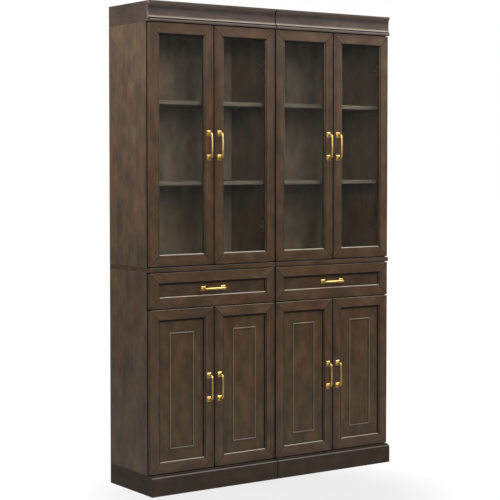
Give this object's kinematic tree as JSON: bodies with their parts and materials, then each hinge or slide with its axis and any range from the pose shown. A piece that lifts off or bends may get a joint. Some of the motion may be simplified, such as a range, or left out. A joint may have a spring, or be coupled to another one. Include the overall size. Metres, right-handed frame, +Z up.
{
  "type": "glass-fronted storage cabinet pair",
  "caption": "Pair of tall dark wood cabinets side by side: panelled base doors and drawers with brass bow pulls under glazed hutches with inner shelves and a crown moulding.",
  "frame": {"origin": "centre of the bounding box's bottom face, on the floor between the two units", "axes": "+Z up, +X along the width from unit 1 to unit 2, the doors face -Y"},
  "size_m": [1.206, 0.343, 1.935],
  "materials": {
    "stained_wood": "satin lacquer over dark walnut-coloured stain",
    "plinth_wood": "satin lacquer, darker",
    "inner_board": "matt stained board",
    "clear_glass": "clear float glass",
    "polished_brass": "satin brushed gold",
    "plated_steel": "zinc plated"
  },
  "bodies": {
    "cabinets": {"base_1_sides": "stained_wood", "base_1_decks": "inner_board", "base_1_top": "stained_wood", "plinth_1": "plinth_wood", "hutch_1_sides": "stained_wood", "hutch_1_decks": "inner_board", "shelves_1": "inner_board", "crown_1": "stained_wood", "base_2_sides": "stained_wood", "base_2_decks": "inner_board", "base_2_top": "stained_wood", "plinth_2": "plinth_wood", "hutch_2_sides": "stained_wood", "hutch_2_decks": "inner_board", "shelves_2": "inner_board", "crown_2": "stained_wood", "back_panels": "inner_board", "hinge_arms": "plated_steel", "shelf_pins": "plated_steel", "drawer_rails": "plated_steel"},
    "glass_door_1": {"glass_door_1_frame": "stained_wood", "glass_door_1_pane": "clear_glass", "glass_door_1_pull": "polished_brass", "glass_door_1_hinge_cups": "plated_steel"},
    "glass_door_2": {"glass_door_2_frame": "stained_wood", "glass_door_2_pane": "clear_glass", "glass_door_2_pull": "polished_brass", "glass_door_2_hinge_cups": "plated_steel"},
    "glass_door_3": {"glass_door_3_frame": "stained_wood", "glass_door_3_pane": "clear_glass", "glass_door_3_pull": "polished_brass", "glass_door_3_hinge_cups": "plated_steel"},
    "glass_door_4": {"glass_door_4_frame": "stained_wood", "glass_door_4_pane": "clear_glass", "glass_door_4_pull": "polished_brass", "glass_door_4_hinge_cups": "plated_steel"},
    "base_door_1": {"base_door_1_frame": "stained_wood", "base_door_1_panel": "stained_wood", "base_door_1_pull": "polished_brass", "base_door_1_hinge_cups": "plated_steel"},
    "base_door_2": {"base_door_2_frame": "stained_wood", "base_door_2_panel": "stained_wood", "base_door_2_pull": "polished_brass", "base_door_2_hinge_cups": "plated_steel"},
    "base_door_3": {"base_door_3_frame": "stained_wood", "base_door_3_panel": "stained_wood", "base_door_3_pull": "polished_brass", "base_door_3_hinge_cups": "plated_steel"},
    "base_door_4": {"base_door_4_frame": "stained_wood", "base_door_4_panel": "stained_wood", "base_door_4_pull": "polished_brass", "base_door_4_hinge_cups": "plated_steel"},
    "drawer_1": {"drawer_1_front": "stained_wood", "drawer_1_box": "inner_board", "drawer_1_pull": "polished_brass", "drawer_1_runners": "plated_steel"},
    "drawer_2": {"drawer_2_front": "stained_wood", "drawer_2_box": "inner_board", "drawer_2_pull": "polished_brass", "drawer_2_runners": "plated_steel"}
  },
  "joints": [
    {"name": "glass_door_1_hinge", "type": "hinge", "parent": "cabinets", "child": "glass_door_1", "pos_m": [-0.596, -0.1375, 1.376], "axis": [0, 0, -1], "range_deg": [0, 105]},
    {"name": "glass_door_2_hinge", "type": "hinge", "parent": "cabinets", "child": "glass_door_2", "pos_m": [-0.007, -0.1375, 1.376], "axis": [0, 0, 1], "range_deg": [0, 82]},
    {"name": "glass_door_3_hinge", "type": "hinge", "parent": "cabinets", "child": "glass_door_3", "pos_m": [0.007, -0.1375, 1.376], "axis": [0, 0, -1], "range_deg": [0, 82]},
    {"name": "glass_door_4_hinge", "type": "hinge", "parent": "cabinets", "child": "glass_door_4", "pos_m": [0.596, -0.1375, 1.376], "axis": [0, 0, 1], "range_deg": [0, 105]},
    {"name": "base_door_1_hinge", "type": "hinge", "parent": "cabinets", "child": "base_door_1", "pos_m": [-0.596, -0.1375, 0.407], "axis": [0, 0, -1], "range_deg": [0, 105]},
    {"name": "base_door_2_hinge", "type": "hinge", "parent": "cabinets", "child": "base_door_2", "pos_m": [-0.007, -0.1375, 0.407], "axis": [0, 0, 1], "range_deg": [0, 82]},
    {"name": "base_door_3_hinge", "type": "hinge", "parent": "cabinets", "child": "base_door_3", "pos_m": [0.007, -0.1375, 0.407], "axis": [0, 0, -1], "range_deg": [0, 82]},
    {"name": "base_door_4_hinge", "type": "hinge", "parent": "cabinets", "child": "base_door_4", "pos_m": [0.596, -0.1375, 0.407], "axis": [0, 0, 1], "range_deg": [0, 105]},
    {"name": "drawer_1_slide", "type": "slide", "parent": "cabinets", "child": "drawer_1", "axis": [0, -1, 0], "range_m": [0, 0.178]},
    {"name": "drawer_2_slide", "type": "slide", "parent": "cabinets", "child": "drawer_2", "axis": [0, -1, 0], "range_m": [0, 0.178]}
  ]
}
